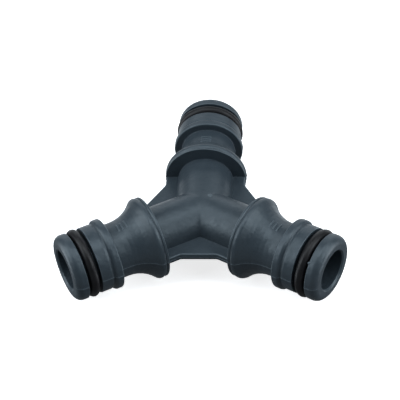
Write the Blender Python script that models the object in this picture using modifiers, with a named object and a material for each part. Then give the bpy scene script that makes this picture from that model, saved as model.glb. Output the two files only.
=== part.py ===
"""Y-shaped three-way hose coupler: one moulded body with three click-on nipples, and the three
O-rings that seal them. Metres, +Z up. The origin is where the three bores cross, the bores lie in
the XY plane, and the rear arm points along +Y. A station is a distance from the origin along an arm.
"""

from math import atan2, cos, degrees, radians, sin, sqrt

import bmesh
import bpy
from mathutils import Matrix

MM = 0.001

# Arms: the directions of the three nipples in the XY plane, in degrees from +X.
ARM_DIRECTIONS = {"rear": 90, "left": 210, "right": 330}
ARM_SIDES = 36

# Stations of an arm's features.
COLLAR_FACE = 13.5 * MM
RIM_END = 14.05 * MM
RIM_GROOVE = 14.2 * MM
CREST_CENTRE = 14.95 * MM
WAIST_COVE_END = 22.3 * MM
BEAD_FACE = 24.6 * MM
BEAD_TOP_END = 25.75 * MM
DIP_START = 26.6 * MM
DIP_END = 26.95 * MM
LAND_START = 27.2 * MM
RING_GROOVE_START = 29.9 * MM
RING_CENTRE = 31.6 * MM
RING_GROOVE_END = 33.3 * MM
NOSE_FACE = 36.25 * MM

# Radii of an arm's turned surfaces.
PIPE_R = 6.8 * MM
COLLAR_R = 10.1 * MM
RIM_R = 10.0 * MM
RIM_GROOVE_R = 9.85 * MM
WAIST_R = 6.75 * MM
BEAD_R = 8.65 * MM
DIP_R = 7.95 * MM
LAND_R = 8.1 * MM
NOSE_R = 8.15 * MM
RING_GROOVE_R = 5.85 * MM

# Roundings of the turned surfaces.
PIPE_FILLET = 0.5 * MM
CREST_ROUND = 1.15 * MM
BEAD_FILLET = 0.4 * MM
BEAD_ROUND = 0.75 * MM
NOSE_ROUND = 1.8 * MM

# Bores, tapered towards the hub, with a chamfered mouth.
BORE_MOUTH_R = 4.9 * MM
BORE_HUB_R = 4.6 * MM
MOUTH_CHAMFER = 0.35 * MM
CUT_CLEARANCE = 1.0 * MM

# Web: the flat plate in the arms' mid-plane. It ends inside the collars' rims.
WEB_THICKNESS = 1.6 * MM
WEB_HALF_WIDTH = 9.9 * MM
WEB_CHORD_DISTANCE = 13.8 * MM
WEB_END = 13.8 * MM

# O-rings, which stand a little proud of the nose.
RING_SECTION_R = 1.2 * MM
RING_CENTRE_R = 7.2 * MM
RING_SECTION_SIDES = 10

PLASTIC_COLOUR = (0.022, 0.031, 0.039, 1.0)
RUBBER_COLOUR = (0.006, 0.006, 0.007, 1.0)
SHARP_ANGLE = radians(28)


def clear_scene():
    for obj in list(bpy.data.objects):
        bpy.data.objects.remove(obj, do_unlink=True)


def new_collection(name, hidden=False):
    made = bpy.data.collections.new(name)
    made.hide_render = hidden
    bpy.context.scene.collection.children.link(made)
    return made


def new_material(name, colour, roughness):
    made = bpy.data.materials.new(name)
    made.use_nodes = True
    shader = made.node_tree.nodes["Principled BSDF"]
    shader.inputs["Base Color"].default_value = colour
    shader.inputs["Roughness"].default_value = roughness
    shader.inputs["Metallic"].default_value = 0.0
    return made


def along_arm(direction, station=0.0):
    """Places a shape made along +Z on an arm, with the shape's +X turned up."""
    angle = radians(direction)
    axes = (
        (0.0, sin(angle), cos(angle)),
        (0.0, -cos(angle), sin(angle)),
        (1.0, 0.0, 0.0),
    )
    shift = Matrix.Translation((station * cos(angle), station * sin(angle), 0.0))
    return shift @ Matrix(axes).to_4x4()


def arc(centre, radius, start, end, steps):
    """Points (station, radius) round a centre. Angles are in degrees: 0 is outwards, 90 is up."""
    angles = [radians(start + (end - start) * i / steps) for i in range(steps + 1)]
    return [(centre[0] + radius * cos(a), centre[1] + radius * sin(a)) for a in angles]


def pipe_and_rim():
    fillet = (COLLAR_FACE - PIPE_FILLET, PIPE_R + PIPE_FILLET)
    return [
        (0.0, 0.0),
        (0.0, PIPE_R),
        *arc(fillet, PIPE_FILLET, -90, 0, 2),
        (COLLAR_FACE, RIM_R),
        (RIM_END, RIM_R),
        (RIM_GROOVE, RIM_GROOVE_R),
    ]


def crest_and_cove():
    """Over the collar's rounded crest, then down the cove that runs out into the waist."""
    reach = WAIST_COVE_END - CREST_CENTRE
    drop = COLLAR_R - CREST_ROUND - WAIST_R
    cove_round = (reach**2 + drop**2 - CREST_ROUND**2) / (2 * (drop + CREST_ROUND))
    crest = (CREST_CENTRE, COLLAR_R - CREST_ROUND)
    cove = (WAIST_COVE_END, WAIST_R + cove_round)
    meeting = degrees(atan2(cove[1] - crest[1], reach))
    up_crest = arc(crest, CREST_ROUND, 120, 90, 1)
    over_crest = arc(crest, CREST_ROUND, 90, meeting, 3)
    down_cove = arc(cove, cove_round, meeting - 180, -90, 6)
    return up_crest + over_crest[1:] + down_cove[1:]


def bead_and_land():
    """The rounded latch bead, and beyond a shallow dip the land beside the O-ring."""
    fillet = (BEAD_FACE - BEAD_FILLET, WAIST_R + BEAD_FILLET)
    inner = (BEAD_FACE + BEAD_ROUND, BEAD_R - BEAD_ROUND)
    outer = (BEAD_TOP_END, BEAD_R - BEAD_ROUND)
    return [
        *arc(fillet, BEAD_FILLET, -90, 0, 2),
        *arc(inner, BEAD_ROUND, 180, 90, 3),
        *arc(outer, BEAD_ROUND, 90, 20, 3),
        (DIP_START, DIP_R),
        (DIP_END, DIP_R),
        (LAND_START, LAND_R),
        (RING_GROOVE_START, LAND_R),
    ]


def groove_and_nose():
    nose = (NOSE_FACE - NOSE_ROUND, NOSE_R - NOSE_ROUND)
    return [
        (RING_GROOVE_START, RING_GROOVE_R),
        (RING_GROOVE_END, RING_GROOVE_R),
        (RING_GROOVE_END, NOSE_R),
        *arc(nose, NOSE_ROUND, 90, 0, 4),
        (NOSE_FACE, 0.0),
    ]


def arm_profile():
    return pipe_and_rim() + crest_and_cove() + bead_and_land() + groove_and_nose()


def bore_profile():
    chamfer_start = NOSE_FACE - MOUTH_CHAMFER
    cut_end = NOSE_FACE + CUT_CLEARANCE
    return [
        (0.0, 0.0),
        (0.0, BORE_HUB_R),
        (chamfer_start, BORE_MOUTH_R),
        (cut_end, BORE_MOUTH_R + cut_end - chamfer_start),
        (cut_end, 0.0),
    ]


def new_turned(name, profile, direction, collection):
    """A solid turned from (station, radius) points that run from the hub outwards."""
    outer_side_down = [(r, 0.0, s) for s, r in reversed(profile)]
    mesh = bpy.data.meshes.new(name)
    last = len(outer_side_down) - 1
    mesh.from_pydata(outer_side_down, [(i, i + 1) for i in range(last)], [])
    made = bpy.data.objects.new(name, mesh)
    made.matrix_world = along_arm(direction)
    collection.objects.link(made)
    turn = made.modifiers.new("turn", "SCREW")
    turn.axis = "Z"
    turn.angle = radians(360)
    turn.steps = ARM_SIDES
    turn.render_steps = ARM_SIDES
    turn.use_merge_vertices = True
    turn.merge_threshold = 0.001 * MM
    return made


def web_outline():
    """Corners of the web: two parallel edges along each arm, joined by a chord across each gap."""
    chord_station = 2 * WEB_CHORD_DISTANCE - sqrt(3) * WEB_HALF_WIDTH
    corners = []
    for direction in ARM_DIRECTIONS.values():
        for station, side in (
            (chord_station, -1),
            (WEB_END, -1),
            (WEB_END, 1),
            (chord_station, 1),
        ):
            # A shape's -Y lies on the anticlockwise side of the arm.
            local = Matrix.Translation((0.0, -side * WEB_HALF_WIDTH, station))
            corners.append((along_arm(direction) @ local).translation)
    return corners


def new_web(collection):
    curve = bpy.data.curves.new("web_outline", "CURVE")
    curve.dimensions = "2D"
    curve.fill_mode = "BOTH"
    curve.extrude = WEB_THICKNESS / 2
    corners = web_outline()
    spline = curve.splines.new("POLY")
    spline.points.add(len(corners) - 1)
    for point, corner in zip(spline.points, corners):
        point.co = (*corner, 1.0)
    spline.use_cyclic_u = True
    outline = bpy.data.objects.new("web_outline", curve)
    collection.objects.link(outline)
    return as_mesh(outline, "web", collection)


def as_mesh(source, name, collection):
    """A plain mesh object in place of one whose shape comes from a curve or from modifiers."""
    bpy.context.view_layer.update()
    evaluated = source.evaluated_get(bpy.context.evaluated_depsgraph_get())
    mesh = bpy.data.meshes.new_from_object(evaluated)
    made = bpy.data.objects.new(name, mesh)
    made.matrix_world = source.matrix_world
    bpy.data.objects.remove(source, do_unlink=True)
    made.name = name
    collection.objects.link(made)
    weld(mesh)
    return made


def weld(mesh):
    shape = bmesh.new()
    shape.from_mesh(mesh)
    bmesh.ops.remove_doubles(shape, verts=shape.verts, dist=0.001 * MM)
    shape.to_mesh(mesh)
    shape.free()


def combine(obj, operation, others):
    for other in others:
        boolean = obj.modifiers.new(other.name, "BOOLEAN")
        boolean.operation = operation
        boolean.solver = "EXACT"
        boolean.object = other


def hide_helper(obj):
    obj.hide_render = True
    obj.display_type = "WIRE"


def shade(mesh, material):
    mesh.materials.append(material)
    mesh.shade_smooth()
    mesh.set_sharp_from_angle(angle=SHARP_ANGLE)


def new_moulded_body(parts, helpers, material):
    """Three turned arms and the web joined into one solid, then bored through."""
    arms = [
        new_turned("arm_" + name, arm_profile(), direction, helpers)
        for name, direction in ARM_DIRECTIONS.items()
    ]
    bores = [
        new_turned("bore_" + name, bore_profile(), direction, helpers)
        for name, direction in ARM_DIRECTIONS.items()
    ]
    web = new_web(helpers)
    combine(arms[0], "UNION", [*arms[1:], web])
    combine(arms[0], "DIFFERENCE", bores)
    body = as_mesh(arms[0], "moulded_body", parts)
    for helper in (*arms[1:], web, *bores):
        hide_helper(helper)
    shade(body.data, material)
    return body


def new_o_ring(arm, direction, parts, material):
    bpy.ops.mesh.primitive_torus_add(
        major_radius=RING_CENTRE_R,
        minor_radius=RING_SECTION_R,
        major_segments=ARM_SIDES,
        minor_segments=RING_SECTION_SIDES,
    )
    ring = bpy.context.object
    ring.name = "o_ring_" + arm
    ring.matrix_world = along_arm(direction, RING_CENTRE)
    for collection in ring.users_collection:
        collection.objects.unlink(ring)
    parts.objects.link(ring)
    shade(ring.data, material)
    return ring


def main():
    clear_scene()
    parts = new_collection("three_way_hose_coupler")
    helpers = new_collection("helpers", hidden=True)
    plastic = new_material("moulded_plastic", PLASTIC_COLOUR, 0.45)
    rubber = new_material("ring_rubber", RUBBER_COLOUR, 0.35)
    new_moulded_body(parts, helpers, plastic)
    for arm, direction in ARM_DIRECTIONS.items():
        new_o_ring(arm, direction, parts, rubber)


main()
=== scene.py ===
"""The looks of the three-way hose coupler: a fine moulded body and O-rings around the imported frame.

Lengths are in millimetres, and become metres where a mesh or an object is made. An arm's own
coordinates are its station s (out from the hub's centre), its lateral l (to its left) and height z."""

from math import acos, atan2, ceil, cos, degrees, radians, sin, sqrt, tan

import bmesh
import bpy
import numpy as np
from mathutils import Matrix, Vector


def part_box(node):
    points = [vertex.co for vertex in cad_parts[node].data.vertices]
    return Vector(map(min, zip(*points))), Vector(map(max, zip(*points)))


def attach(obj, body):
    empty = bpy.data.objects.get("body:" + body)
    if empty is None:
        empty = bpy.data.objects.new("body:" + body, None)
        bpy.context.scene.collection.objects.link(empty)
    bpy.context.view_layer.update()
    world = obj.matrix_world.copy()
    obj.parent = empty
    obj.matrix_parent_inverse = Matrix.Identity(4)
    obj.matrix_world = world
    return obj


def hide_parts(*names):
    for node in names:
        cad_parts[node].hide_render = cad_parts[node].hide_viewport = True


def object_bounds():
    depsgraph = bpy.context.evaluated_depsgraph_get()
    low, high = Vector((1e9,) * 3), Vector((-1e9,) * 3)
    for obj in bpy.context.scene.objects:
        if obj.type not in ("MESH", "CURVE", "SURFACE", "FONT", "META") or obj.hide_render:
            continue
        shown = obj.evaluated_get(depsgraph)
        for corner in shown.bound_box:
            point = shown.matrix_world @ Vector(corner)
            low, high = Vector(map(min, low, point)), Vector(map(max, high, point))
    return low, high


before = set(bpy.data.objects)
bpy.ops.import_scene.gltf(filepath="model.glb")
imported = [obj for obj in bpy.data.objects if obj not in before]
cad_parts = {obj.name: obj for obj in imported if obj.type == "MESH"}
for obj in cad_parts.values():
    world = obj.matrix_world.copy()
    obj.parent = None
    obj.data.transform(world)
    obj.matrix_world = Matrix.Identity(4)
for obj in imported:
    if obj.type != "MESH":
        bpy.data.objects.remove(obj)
cad_low, cad_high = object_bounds()
body_low, body_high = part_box("moulded_body")

MM = 0.001
ROOT3 = sqrt(3)
ARM_DIRECTIONS = {"rear": 90, "left": 210, "right": 330}

# Sizes that the frame gives.
NOSE_FACE = body_high.y / MM
COLLAR_R = body_high.z / MM

# Stations along an arm.
COLLAR_FACE = 13.5
RIM_END = 13.95
RIM_GROOVE = 14.2
CREST_START = 14.45
CREST_CENTRE = 14.95
WAIST_COVE_END = 22.3
BEAD_FACE = 24.6
BEAD_END = 26.3
DIP_START = 26.75
DIP_END = 26.95
LAND_START = 27.4
RING_GROOVE_START = 29.9
RING_CENTRE = 31.6
RING_GROOVE_END = 33.3
BORE_HUB_ZONE = 8.0

# Radii of an arm's turned surfaces.
PIPE_R = 6.8
RIM_R = 10.0
RIM_GROOVE_R = 9.8
WAIST_R = 6.75
BEAD_R = 8.65
DIP_R = 7.95
LAND_R = 8.1
NOSE_R = 8.15
RING_GROOVE_R = 5.85
BORE_MOUTH_R = 4.9
BORE_HUB_R = 4.6
MOUTH_CHAMFER = 0.35

# Rounding radii; an edge or a foot with no size of its own takes EDGE_ROUND.
EDGE_ROUND = 0.15
GROOVE_FLOOR_ROUND = 0.2
CREST_ROUND = 1.15
BEAD_ROUND = 0.7
BEAD_SHOULDER_ROUND = 0.35
NOSE_ROUND = 1.8

# Web.
WEB_THICKNESS = 1.8
WEB_HALF_WIDTH = 9.8
WEB_CHORD_DISTANCE = 13.8
WEB_CORNER_ROUND = 1.2
WEB_EDGE_ROUND = 0.3

# Blends, and the mould's parting line, which runs round every arm and the web at z = 0.
BASE_FILLET = 0.1
CREASE_SOFTNESS = 0.1
WEB_SOFTNESS = 0.02
SEAM_HEIGHT = 0.09
SEAM_HALF_WIDTH = 0.15
SHARP_ANGLE = radians(32)

# Outward turns of the skin, per millimetre, at which the painted edge highlight begins and is at its
# full strength.
EDGE_HIGHLIGHT_BEGINS = 1.2
EDGE_HIGHLIGHT_FULL = 4.0

# Small things that the mould leaves or marks. Each profile is (radius, height) from the skin.
BAR_STATIONS = (19.85, 20.85, 21.85)
BAR_WIDTH = 0.48
BAR_LENGTH = 2.9
BAR_HEIGHT = 0.2
ROOT_DEPTH = 0.1
GATE_PLACE = ("right", 1.66, 77, PIPE_R)
GATE = ((0, 0.15), (0.2, 0.15), (0.27, 0.09), (0.52, 0.09), (0.6, 0.02), (0.6, -0.12), (0, -0.12))
NICK_PLACE = ("right", RING_GROOVE_END, 134, NOSE_R)
NICK = ((0, 0.26), (0.14, 0.22), (0.27, 0.1), (0.3, -0.06), (0.15, -0.2), (0, -0.24))

# O-rings.
RING_SECTION_R = 1.2
RING_CENTRE_R = 7.2
RING_FLASH = 0.02
RING_AROUND_STEPS = 160
RING_SECTION_STEPS = 32

# Mesh density: intervals in a quarter of a loop, then from the hub's mitre to the collar, which
# crowd towards the mitre by a power, and those of the fillet, the collar's face and the bore.
PIPE_STEPS = 17
WEB_TOP_STEPS = 7
WEB_ROUND_STEPS = 3
WEB_SIDE_STEPS = 3
SEAM_STEPS = 3
QUARTER = PIPE_STEPS + WEB_TOP_STEPS + WEB_ROUND_STEPS + WEB_SIDE_STEPS + SEAM_STEPS
HUB_STEPS = 26
HUB_CROWDING = 1.35
BASE_STEPS = 2
FACE_SHARES = (0.06, 0.5, 0.94)
BORE_STEPS = 8
WELD_DISTANCE = 0.001

# How close a long step's extra points stand to its ends.
SUPPORT_GAP = 0.12


# ---------------------------------------------------------------- outlines


def arc(centre, radius, start, end):
    """Points on an arc in the (s, r) plane, one for each 9 degrees or so. 0 is outwards, 90 is up."""
    steps = max(3, ceil(abs(end - start) / 9))
    turn = np.radians(np.linspace(start, end, steps + 1))
    return [(centre[0] + radius * cos(a), centre[1] + radius * sin(a)) for a in turn]


def rounded(corners):
    """A path through corners given as (s, r, rounding radius); the first and last stay sharp."""
    path = [corners[0][:2]]
    for before, corner, after in zip(corners, corners[1:], corners[2:]):
        here = np.array(corner[:2])
        back = np.array(before[:2]) - here
        on = np.array(after[:2]) - here
        back /= np.linalg.norm(back)
        on /= np.linalg.norm(on)
        half = acos(float(np.clip(back @ on, -1, 1))) / 2
        reach = corner[2] / tan(half)
        middle = (back + on) / np.linalg.norm(back + on)
        centre = here + middle * corner[2] / sin(half)
        start = here + back * reach - centre
        end = here + on * reach - centre
        a = degrees(atan2(start[1], start[0]))
        b = degrees(atan2(end[1], end[0]))
        path += arc(centre, corner[2], a, a + (b - a + 180) % 360 - 180)
    path.append(corners[-1][:2])
    return path


def rim_path():
    """The collar's rim, and the fine groove that parts it from the crest."""
    return rounded(
        [
            (COLLAR_FACE, RIM_R - 2 * EDGE_ROUND, 0),
            (COLLAR_FACE, RIM_R, EDGE_ROUND),
            (RIM_END, RIM_R, 0.1),
            (RIM_GROOVE, RIM_GROOVE_R, 0.05),
            (CREST_START, RIM_R, 0),
        ]
    )


def cove_radius():
    """The radius of the cove that leaves the crest's round and ends level with the waist."""
    reach = WAIST_COVE_END - CREST_CENTRE
    drop = COLLAR_R - CREST_ROUND - WAIST_R
    return (reach**2 + drop**2 - CREST_ROUND**2) / (2 * (drop + CREST_ROUND))


def crest_and_cove_path():
    """Over the collar's rounded crest, then down the cove that runs out into the waist."""
    cove_round = cove_radius()
    crest = (CREST_CENTRE, COLLAR_R - CREST_ROUND)
    cove = (WAIST_COVE_END, WAIST_R + cove_round)
    meeting = degrees(atan2(cove[1] - crest[1], cove[0] - crest[0]))
    up_crest = arc(crest, CREST_ROUND, 110, 90)
    over_crest = arc(crest, CREST_ROUND, 90, meeting)
    down_cove = arc(cove, cove_round, meeting - 180, -90)
    return up_crest + over_crest[1:] + down_cove[1:]


def nipple_path():
    """From the waist over the latch bead, the land, the O-ring groove and the nose into the bore."""
    bore_r = BORE_HUB_R + (BORE_MOUTH_R - BORE_HUB_R) * BORE_HUB_ZONE / NOSE_FACE
    return rounded(
        [
            (WAIST_COVE_END + 0.5, WAIST_R, 0),
            (BEAD_FACE, WAIST_R, EDGE_ROUND),
            (BEAD_FACE, BEAD_R, BEAD_SHOULDER_ROUND),
            (BEAD_END, BEAD_R, BEAD_ROUND),
            (DIP_START, DIP_R, 0.1),
            (DIP_END, DIP_R, EDGE_ROUND),
            (LAND_START, LAND_R, 0.4),
            (RING_GROOVE_START, LAND_R, 0.12),
            (RING_GROOVE_START, RING_GROOVE_R, GROOVE_FLOOR_ROUND),
            (RING_GROOVE_END, RING_GROOVE_R, GROOVE_FLOOR_ROUND),
            (RING_GROOVE_END, NOSE_R, EDGE_ROUND),
            (NOSE_FACE, NOSE_R, NOSE_ROUND),
            (NOSE_FACE, BORE_MOUTH_R + MOUTH_CHAMFER, 0.12),
            (NOSE_FACE - MOUTH_CHAMFER, BORE_MOUTH_R, 0.2),
            (BORE_HUB_ZONE, bore_r, 0),
        ]
    )


def supported(path):
    """The path with a point close to each end of every long step, so that flats stay flat."""
    made = [path[0]]
    for here, there in zip(path, path[1:]):
        here, there = np.array(here), np.array(there)
        length = np.linalg.norm(there - here)
        if length > 4 * SUPPORT_GAP:
            on = (there - here) / length
            made += [here + on * SUPPORT_GAP, there - on * SUPPORT_GAP]
        made.append(there)
    return made


def turned_path():
    """An arm's whole turned surface as (s, r), from the collar's inner face to the deep bore."""
    return np.array(supported(rim_path()[1:] + crest_and_cove_path() + nipple_path()))


def web_edge_path():
    """Half of a gap's web edge as (s, l): along the chord from the mitre, then along the arm."""
    mitre_l = WEB_CHORD_DISTANCE * sin(radians(60))
    corner_s = 2 * WEB_CHORD_DISTANCE - ROOT3 * WEB_HALF_WIDTH
    return np.array(
        rounded(
            [
                (mitre_l / ROOT3, mitre_l, 0),
                (corner_s, WEB_HALF_WIDTH, WEB_CORNER_ROUND),
                (COLLAR_FACE - BASE_FILLET, WEB_HALF_WIDTH, 0),
            ]
        )
    )


def along(path, shares):
    """Points at shares of a path's length, and the path's left-hand normals there."""
    step = np.diff(path, axis=0)
    travelled = np.concatenate([[0], np.cumsum(np.linalg.norm(step, axis=1))])
    at = np.asarray(shares) * travelled[-1]
    points = np.stack([np.interp(at, travelled, path[:, i]) for i in range(2)], axis=1)
    index = np.clip(np.searchsorted(travelled, at, side="right") - 1, 0, len(step) - 1)
    heading = step[index] / np.linalg.norm(step[index], axis=1)[:, None]
    return points, np.stack([-heading[:, 1], heading[:, 0]], axis=1)


# ---------------------------------------------------------------- the hub's skin


def smooth_least(values, softness):
    """The least of several distances, blended where they are close to each other."""
    least = values.min(axis=0)
    return least - softness * np.log(np.exp((least - values) / softness).sum(axis=0))


def hub_distance(points):
    """Signed distance from an arm's (s, l, z) points to the three pipes and the web as one skin."""
    s, l, z = points.T
    pipes = []
    for turn in (0, 120, 240):
        a = radians(turn)
        station = s * cos(a) + l * sin(a)
        lateral = l * cos(a) - s * sin(a)
        behind = np.minimum(station, 0)
        pipes.append(np.sqrt(lateral**2 + z**2 + behind**2) - PIPE_R)
    outwards = np.clip(np.hypot(s, l) / PIPE_R, 0.02, 1)
    skin = smooth_least(np.array(pipes), CREASE_SOFTNESS * outwards)
    web = np.abs(z) - WEB_THICKNESS / 2
    return smooth_least(np.array([skin, web]), WEB_SOFTNESS)


def settle(points, level=0.0, rounds=8):
    """Moves points straight to the hub's skin, or to a surface at some level above it."""
    nudge = 1e-4
    for _ in range(rounds):
        slope = np.stack(
            [
                (hub_distance(points + step) - hub_distance(points - step)) / (2 * nudge)
                for step in np.eye(3) * nudge
            ],
            axis=1,
        )
        miss = hub_distance(points) - level
        points = points - slope * (miss / (slope**2).sum(axis=1))[:, None]
    return points


# ---------------------------------------------------------------- an arm as loops of points


def whole_loop(quarter):
    """A closed loop of (s, l, z) from its quarter, which runs from the top to the left side."""
    back = quarter[::-1]
    return np.concatenate(
        [
            quarter,
            back[1:] * (1, 1, -1),
            quarter[1:] * (1, -1, -1),
            back[1:-1] * (1, -1, 1),
        ]
    )


def seam_rise(z):
    """How far the parting line stands out at a height z."""
    share = np.clip(np.abs(z) / SEAM_HALF_WIDTH, 0, 1)
    return SEAM_HEIGHT * np.cos(share * np.pi / 2) ** 2


def hub_quarters():
    """Quarter loops of the pipe and web from the mitre plane out to the collar's base fillet."""
    shares = np.linspace(0, 1, HUB_STEPS + 1) ** HUB_CROWDING
    end = COLLAR_FACE - BASE_FILLET
    half_web = WEB_THICKNESS / 2
    lowest = np.arcsin(half_web / PIPE_R)
    angles = np.linspace(np.pi / 2, lowest, PIPE_STEPS + 1)
    across = (1 - np.cos(np.linspace(0, np.pi, WEB_TOP_STEPS + 1))) / 2
    turns = np.radians(np.linspace(0, 90, WEB_ROUND_STEPS + 1))[1:]
    seam_z = np.linspace(SEAM_HALF_WIDTH, 0, SEAM_STEPS + 1)[1:]
    side_z = np.linspace(half_web - WEB_EDGE_ROUND, SEAM_HALF_WIDTH, WEB_SIDE_STEPS + 1)[1:]
    edge_z = np.concatenate([side_z, seam_z])
    edges, normals = along(web_edge_path(), shares)
    quarters = []
    for share, edge, normal in zip(shares, edges, normals):
        points = []
        for a in angles:
            l = PIPE_R * cos(a)
            points.append((l / ROOT3 + (end - l / ROOT3) * share, l, PIPE_R * sin(a)))
        foot = np.array(points[-1][:2])
        top = edge - normal * WEB_EDGE_ROUND
        points += [(*(foot + (top - foot) * f), half_web) for f in across[1:]]
        for a in turns:
            at = edge - normal * WEB_EDGE_ROUND * (1 - sin(a))
            points.append((*at, half_web - WEB_EDGE_ROUND * (1 - cos(a))))
        points += [(*(edge + normal * seam_rise(z)), z) for z in edge_z]
        quarters.append(points)
    quarters = np.array(quarters)
    skin = quarters[:, : PIPE_STEPS + WEB_TOP_STEPS]
    quarters[:, : PIPE_STEPS + WEB_TOP_STEPS] = settle(skin.reshape(-1, 3)).reshape(skin.shape)
    return quarters


def base_quarters(last):
    """The small fillet where the pipe and the web run into the collar's inner face."""
    rise = np.zeros(QUARTER + 1)
    rise[: PIPE_STEPS + 1] = 1
    across = np.linspace(0, 1, WEB_TOP_STEPS + 1)
    rise[PIPE_STEPS : PIPE_STEPS + WEB_TOP_STEPS + 1] = 1 - across**2
    count = PIPE_STEPS + WEB_TOP_STEPS
    quarters = []
    for turn in np.radians(np.linspace(0, 90, BASE_STEPS + 1))[1:]:
        quarter = last.copy()
        quarter[:, 0] = COLLAR_FACE - BASE_FILLET * (1 - sin(turn))
        level = BASE_FILLET * (1 - cos(turn)) * rise[:count]
        quarter[:count] = settle(quarter[:count], level)
        quarter[:, 0] = COLLAR_FACE - BASE_FILLET * (1 - sin(turn))
        quarters.append(quarter)
    return quarters


def turned_angles():
    """Angles of a turned quarter loop from the top to the side, close together at the seam."""
    seam = np.degrees(SEAM_HALF_WIDTH / NOSE_R)
    return np.radians(
        np.concatenate(
            [
                np.linspace(90, seam, QUARTER - SEAM_STEPS + 1),
                np.linspace(seam, 0, SEAM_STEPS + 1)[1:],
            ]
        )
    )


def turned_quarter(s, r, seamed):
    angles = turned_angles()
    r = r + (seam_rise(r * np.sin(angles)) if seamed else 0)
    return np.stack([np.full(QUARTER + 1, s), r * np.cos(angles), r * np.sin(angles)], axis=1)


def arm_loops():
    """Every loop of an arm: hub, base fillet, collar face, turned outside, and the bore back in."""
    quarters = list(hub_quarters())
    quarters += base_quarters(quarters[-1])
    path = turned_path()
    rim_start = turned_quarter(*path[0], True)
    base = quarters[-1]
    for share in FACE_SHARES:
        quarters.append(base + (rim_start - base) * share)
    nose_end = int(np.argmax(path[:, 0] > NOSE_FACE - 0.01))
    for i, (s, r) in enumerate(path):
        quarters.append(turned_quarter(s, r, i < nose_end and r > RING_GROOVE_R + 0.5))
    angles = turned_angles()
    s, r = path[-1]
    for share in np.linspace(0, 1, BORE_STEPS + 1)[1:]:
        radius = r + (BORE_HUB_R - r) * share
        l = radius * np.cos(angles)
        quarters.append(np.stack([s + (l / ROOT3 - s) * share, l, radius * np.sin(angles)], axis=1))
    for quarter in quarters:
        quarter[0, 1] = 0
        quarter[-1, 2] = 0
    return [whole_loop(q) for q in quarters]


# ---------------------------------------------------------------- meshes


def arm_matrix(arm):
    """Takes an arm's (s, l, z) in millimetres to the frame in metres."""
    a = radians(ARM_DIRECTIONS[arm])
    turn = Matrix(((cos(a), -sin(a), 0), (sin(a), cos(a), 0), (0, 0, 1))).to_4x4()
    return turn @ Matrix.Scale(MM, 4)


def placed(arm, points):
    """An arm's points in the frame, in metres."""
    place = np.array(arm_matrix(arm))
    return list(np.array(points) @ place[:3, :3].T + place[:3, 3])


def new_object(name, points, faces, material):
    mesh = bpy.data.meshes.new(name)
    mesh.from_pydata([tuple(p) for p in points], [], faces)
    mesh.materials.append(material)
    mesh.shade_smooth()
    made = bpy.data.objects.new(name, mesh)
    bpy.context.scene.collection.objects.link(made)
    return made


def outward_turn(edge):
    """How tightly the skin turns outwards over an edge, per millimetre."""
    width = sum(face.calc_area() for face in edge.link_faces) / (2 * edge.calc_length())
    return edge.calc_face_angle_signed(0) * MM / width


def mark_edge_highlight(shape):
    """Stores at each vertex how strongly the painted highlight on outward-turning edges shows there,
    from 0 to 1.
    """
    edge_highlight = shape.verts.layers.float.new("edge_highlight")
    for edge in shape.edges:
        share = (outward_turn(edge) - EDGE_HIGHLIGHT_BEGINS) / (EDGE_HIGHLIGHT_FULL - EDGE_HIGHLIGHT_BEGINS)
        for vertex in edge.verts:
            vertex[edge_highlight] = max(vertex[edge_highlight], min(share, 1.0))


def tidy_mesh(obj):
    """Welds doubled points, turns the faces outwards, and marks sharp edges and the painted edge
    highlight.
    """
    shape = bmesh.new()
    shape.from_mesh(obj.data)
    bmesh.ops.remove_doubles(shape, verts=shape.verts, dist=WELD_DISTANCE * MM)
    bmesh.ops.recalc_face_normals(shape, faces=shape.faces)
    for edge in shape.edges:
        edge.smooth = edge.calc_face_angle(0) < SHARP_ANGLE
    mark_edge_highlight(shape)
    shape.to_mesh(obj.data)
    shape.free()


def weighted_normals(obj):
    """Flat faces keep flat shading beside their small rounded edges."""
    modifier = obj.modifiers.new("face weighted normals", "WEIGHTED_NORMAL")
    modifier.mode = "FACE_AREA_WITH_ANGLE"
    modifier.weight = 60
    modifier.keep_sharp = True


def tube_faces(rows, columns, closed_rows=False, first=0):
    """Quads between successive loops of points, each loop closed on itself."""
    faces = []
    for i in range(rows if closed_rows else rows - 1):
        here = first + i * columns
        there = first + (i + 1) % rows * columns
        for k in range(columns):
            on = (k + 1) % columns
            faces.append((here + k, here + on, there + on, there + k))
    return faces


def on_skin(s, angle, r):
    """A point at an angle in degrees round an arm, 90 being the top."""
    return s, r * cos(radians(angle)), r * sin(radians(angle))


def bar_shell(arm, station):
    """A low rounded bar across the top of a waist, as a closed shell rooted in the skin."""
    columns, rows = 8, 14
    top, root = [], []
    for j in range(rows + 1):
        v = 2 * j / rows - 1
        for i in range(columns + 1):
            u = 2 * i / columns - 1
            s = station + u * BAR_WIDTH / 2
            skin_r = WAIST_R + (WAIST_COVE_END - s) ** 2 / (2 * cove_radius())
            angle = 90 + degrees(v * BAR_LENGTH / 2 / skin_r)
            rise = (BAR_HEIGHT + ROOT_DEPTH) * (1 - u**4) * (1 - v**8) - ROOT_DEPTH
            top.append(on_skin(s, angle, skin_r + rise))
            root.append(on_skin(s, angle, skin_r - ROOT_DEPTH))
    faces = []
    for sheet in (0, len(top)):
        for j in range(rows):
            for i in range(columns):
                here = sheet + j * (columns + 1) + i
                faces.append((here, here + 1, here + columns + 2, here + columns + 1))
    return placed(arm, top + root), faces


def bump_shell(place, profile, around=24):
    """A small turned bump standing on the skin, as a closed shell."""
    arm, station, angle, r = place
    outwards = np.array(on_skin(0, angle, 1))
    across = np.array(on_skin(0, angle + 90, 1))
    centre = np.array(on_skin(station, angle, r))
    points = []
    for radius, height in profile:
        for i in range(around):
            a = radians(360 * i / around)
            flat = np.array((1, 0, 0)) * cos(a) + across * sin(a)
            points.append(centre + outwards * height + flat * radius)
    return placed(arm, points), tube_faces(len(profile), around)


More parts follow.
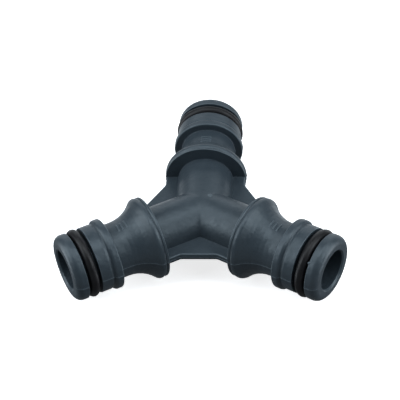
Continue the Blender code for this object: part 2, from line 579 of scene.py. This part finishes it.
def new_body(material):
    loops = arm_loops()
    rows, columns = len(loops), len(loops[0])
    local = np.concatenate(loops)
    points, faces = [], []
    for arm in ARM_DIRECTIONS:
        faces += tube_faces(rows, columns, first=len(points))
        points += placed(arm, local)
    shells = [bar_shell(arm, s) for arm in ARM_DIRECTIONS for s in BAR_STATIONS]
    shells += [bump_shell(GATE_PLACE, GATE), bump_shell(NICK_PLACE, NICK)]
    for shell_points, shell_faces in shells:
        faces += [tuple(len(points) + k for k in face) for face in shell_faces]
        points += shell_points
    body = new_object("coupler_body", points, faces, material)
    tidy_mesh(body)
    weighted_normals(body)
    return body


def new_o_ring(arm, material):
    """A ring with the faint flash line that its mould leaves outside and inside."""
    around, section = RING_AROUND_STEPS, RING_SECTION_STEPS
    points = []
    for i in range(around):
        big = radians(360 * i / around)
        for k in range(section):
            small = radians(360 * k / section)
            r = RING_SECTION_R + (RING_FLASH if k % (section // 2) == 0 else 0)
            out = RING_CENTRE_R + r * cos(small)
            points.append((RING_CENTRE + r * sin(small), out * cos(big), out * sin(big)))
    ring = new_object("ring_" + arm, placed(arm, points), tube_faces(around, section, True), material)
    tidy_mesh(ring)
    return ring


# ---------------------------------------------------------------- materials

PLASTIC_DARK = (0.0200, 0.0285, 0.0360)
PLASTIC_PALE = (0.0235, 0.0325, 0.0405)
# Paler colour on tight outward edges: a painted highlight.
PLASTIC_EDGE_HIGHLIGHT = (0.066, 0.086, 0.100)
PLASTIC_TINT = (0.82, 0.94, 1.0, 1.0)
RUBBER_BLACK = (0.0040, 0.0040, 0.0048)
RUBBER_BLOOM = (0.0085, 0.0085, 0.0095)
FLOOR_DARK = (0.86, 0.86, 0.86)
FLOOR_PALE = (0.9, 0.9, 0.9)
FLOOR_GLOW = 0.75


def new_material(name):
    made = bpy.data.materials.new(name)
    made.use_nodes = True
    nodes = made.node_tree.nodes
    return made, nodes, made.node_tree.links, nodes["Principled BSDF"]


def noise(nodes, links, size, detail=2.0, roughness=0.5):
    """Noise whose features are about size millimetres across."""
    place = nodes.new("ShaderNodeTexCoord")
    texture = nodes.new("ShaderNodeTexNoise")
    texture.inputs["Scale"].default_value = 1 / (size * MM)
    texture.inputs["Detail"].default_value = detail
    texture.inputs["Roughness"].default_value = roughness
    links.new(place.outputs["Object"], texture.inputs["Vector"])
    return texture.outputs["Fac"]


def ranged(nodes, links, source, low, high, source_low=0.3, source_high=0.7):
    """A source's values spread from low to high; noise mostly lies from 0.3 to 0.7."""
    node = nodes.new("ShaderNodeMapRange")
    node.inputs["From Min"].default_value = source_low
    node.inputs["From Max"].default_value = source_high
    node.inputs["To Min"].default_value = low
    node.inputs["To Max"].default_value = high
    links.new(source, node.inputs["Value"])
    return node.outputs["Result"]


def mixed(nodes, links, factor, a, b):
    """A colour between a and b, each a colour or an output."""
    node = nodes.new("ShaderNodeMix")
    node.data_type = "RGBA"
    links.new(factor, node.inputs["Factor"])
    for socket, value in ((node.inputs[6], a), (node.inputs[7], b)):
        if isinstance(value, tuple):
            socket.default_value = (*value, 1.0)
        else:
            links.new(value, socket)
    return node.outputs[2]


def bumped(nodes, links, height, distance, strength, normal=None):
    """Normals for bumps distance millimetres deep, laid over other normals if there are any."""
    node = nodes.new("ShaderNodeBump")
    node.inputs["Distance"].default_value = distance * MM
    node.inputs["Strength"].default_value = strength
    links.new(height, node.inputs["Height"])
    if normal is not None:
        links.new(normal, node.inputs["Normal"])
    return node.outputs["Normal"]


def plastic_material():
    """Dark blue-grey moulded plastic with a fine satin grain and a painted highlight of paler colour
    on its tight outward edges.
    """
    made, nodes, links, shader = new_material("satin_moulded_plastic")
    cloud = ranged(nodes, links, noise(nodes, links, 7.0), 0, 1)
    colour = mixed(nodes, links, cloud, PLASTIC_DARK, PLASTIC_PALE)
    # Tight outward edges turn paler here: a painted highlight.
    edge_highlight = nodes.new("ShaderNodeAttribute")
    edge_highlight.attribute_name = "edge_highlight"
    highlight_share = ranged(nodes, links, edge_highlight.outputs["Fac"], 0, 0.8, 0.2, 1.0)
    colour = mixed(nodes, links, highlight_share, colour, PLASTIC_EDGE_HIGHLIGHT)
    links.new(colour, shader.inputs["Base Color"])
    shader.inputs["Specular Tint"].default_value = PLASTIC_TINT
    roughness = ranged(nodes, links, noise(nodes, links, 1.8, 3.0), 0.34, 0.46)
    links.new(roughness, shader.inputs["Roughness"])
    flow = bumped(nodes, links, noise(nodes, links, 3.0), 0.26, 0.4)
    dapple = bumped(nodes, links, noise(nodes, links, 0.9, 3.0), 0.12, 0.5, flow)
    grain = bumped(nodes, links, noise(nodes, links, 0.2, 3.0), 0.012, 0.4, dapple)
    links.new(grain, shader.inputs["Normal"])
    return made


def rubber_material():
    """Black moulded rubber, lightly greased, with a little bloom."""
    made, nodes, links, shader = new_material("greased_black_rubber")
    bloom = ranged(nodes, links, noise(nodes, links, 2.2, 4.0), 0, 1, 0.45, 0.75)
    colour = mixed(nodes, links, bloom, RUBBER_BLACK, RUBBER_BLOOM)
    links.new(colour, shader.inputs["Base Color"])
    roughness = ranged(nodes, links, noise(nodes, links, 1.2, 3.0), 0.34, 0.48)
    links.new(roughness, shader.inputs["Roughness"])
    shader.inputs["Specular IOR Level"].default_value = 0.22
    links.new(bumped(nodes, links, noise(nodes, links, 0.3, 3.0), 0.02, 0.3), shader.inputs["Normal"])
    return made


def floor_material():
    """A plain pale board with a glow of its own, which keeps the shadow on it faint."""
    made, nodes, links, shader = new_material("pale_floor")
    cloud = ranged(nodes, links, noise(nodes, links, 60.0), 0, 1)
    links.new(mixed(nodes, links, cloud, FLOOR_DARK, FLOOR_PALE), shader.inputs["Base Color"])
    shader.inputs["Roughness"].default_value = 0.9
    shader.inputs["Specular IOR Level"].default_value = 0.0
    shader.inputs["Emission Color"].default_value = (1.0, 1.0, 1.0, 1.0)
    shader.inputs["Emission Strength"].default_value = FLOOR_GLOW
    return made


# ---------------------------------------------------------------- stage

# In metres.
FLOOR_SIZE = 3.0
FLOOR_GAP = 0.00002
LIGHT_DISTANCE = 0.5

LIGHT_COLOUR = (0.93, 1.0, 1.06)
WORLD_COLOUR = (0.94, 1.0, 1.06, 1.0)
WORLD_STRENGTH = 0.15


def new_floor():
    """The floor throws no light back and casts no shadow. The low lights stand in for it."""
    bpy.ops.mesh.primitive_plane_add(size=FLOOR_SIZE, location=(0, 0, cad_low.z - FLOOR_GAP))
    floor = bpy.context.object
    floor.name = "floor"
    floor.data.materials.append(floor_material())
    floor.visible_diffuse = False
    floor.visible_glossy = False
    floor.visible_shadow = False


def area_light(name, azimuth, elevation, width, height, watts):
    """A soft rectangular light facing the hub. Azimuth 0 is the front and 90 the right; metres."""
    lamp = bpy.data.lights.new(name, "AREA")
    lamp.shape = "RECTANGLE"
    lamp.size = width
    lamp.size_y = height
    lamp.energy = watts
    lamp.color = LIGHT_COLOUR
    made = bpy.data.objects.new(name, lamp)
    a, e = radians(azimuth), radians(elevation)
    towards = Vector((sin(a) * cos(e), -cos(a) * cos(e), sin(e)))
    made.location = towards * LIGHT_DISTANCE
    made.rotation_mode = "QUATERNION"
    made.rotation_quaternion = towards.to_track_quat("Z", "Y")
    bpy.context.scene.collection.objects.link(made)


def new_lights():
    area_light("top", 0, 85, 0.26, 0.26, 0.9)
    area_light("back", 180, 22, 0.75, 0.28, 0.7)
    area_light("bounce_front", 0, -20, 0.85, 0.26, 0.15)
    area_light("bounce_back", 180, -20, 0.85, 0.26, 0.7)
    for side in (-1, 1):
        area_light("softbox", side * 75, 35, 0.40, 0.27, 1.28)
        area_light("low_softbox", side * 90, -5, 0.26, 0.42, 1.2)
        area_light("back_softbox", side * 105, 60, 0.38, 0.26, 0.55)


def new_world():
    world = bpy.data.worlds.new("studio")
    bpy.context.scene.world = world
    world.use_nodes = True
    background = world.node_tree.nodes["Background"]
    background.inputs["Color"].default_value = WORLD_COLOUR
    background.inputs["Strength"].default_value = WORLD_STRENGTH


def new_camera():
    """The viewpoint: raised, a little to the right, and slightly rolled."""
    azimuth, elevation, roll = radians(6.97), radians(43.15), radians(-4.86)
    distance, lens = 361.4, 134.4
    back = Vector((sin(azimuth) * cos(elevation), -cos(azimuth) * cos(elevation), sin(elevation)))
    level = Vector((cos(azimuth), sin(azimuth), 0))
    right = level * cos(roll) + back.cross(level) * sin(roll)
    up = back.cross(right)
    target = up * 4.08 - right * 0.60
    location = back * distance
    outwards = (location - target).normalized()
    right = up.cross(outwards).normalized()
    up = outwards.cross(right)
    data = bpy.data.cameras.new("camera")
    data.lens = lens
    data.clip_start = 0.01
    camera = bpy.data.objects.new("camera", data)
    axes = Matrix((right, up, outwards)).transposed().to_4x4()
    camera.matrix_world = Matrix.Translation(location * MM) @ axes
    bpy.context.scene.collection.objects.link(camera)
    bpy.context.scene.camera = camera


# ---------------------------------------------------------------- build

bpy.context.scene.view_settings.view_transform = "Standard"
new_camera()
new_world()
new_lights()
new_floor()
plastic = plastic_material()
rubber = rubber_material()

body = new_body(plastic)
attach(body, "body")
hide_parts("moulded_body")
for arm in ARM_DIRECTIONS:
    ring = new_o_ring(arm, rubber)
    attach(ring, arm + "_ring")
    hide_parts("o_ring_" + arm)
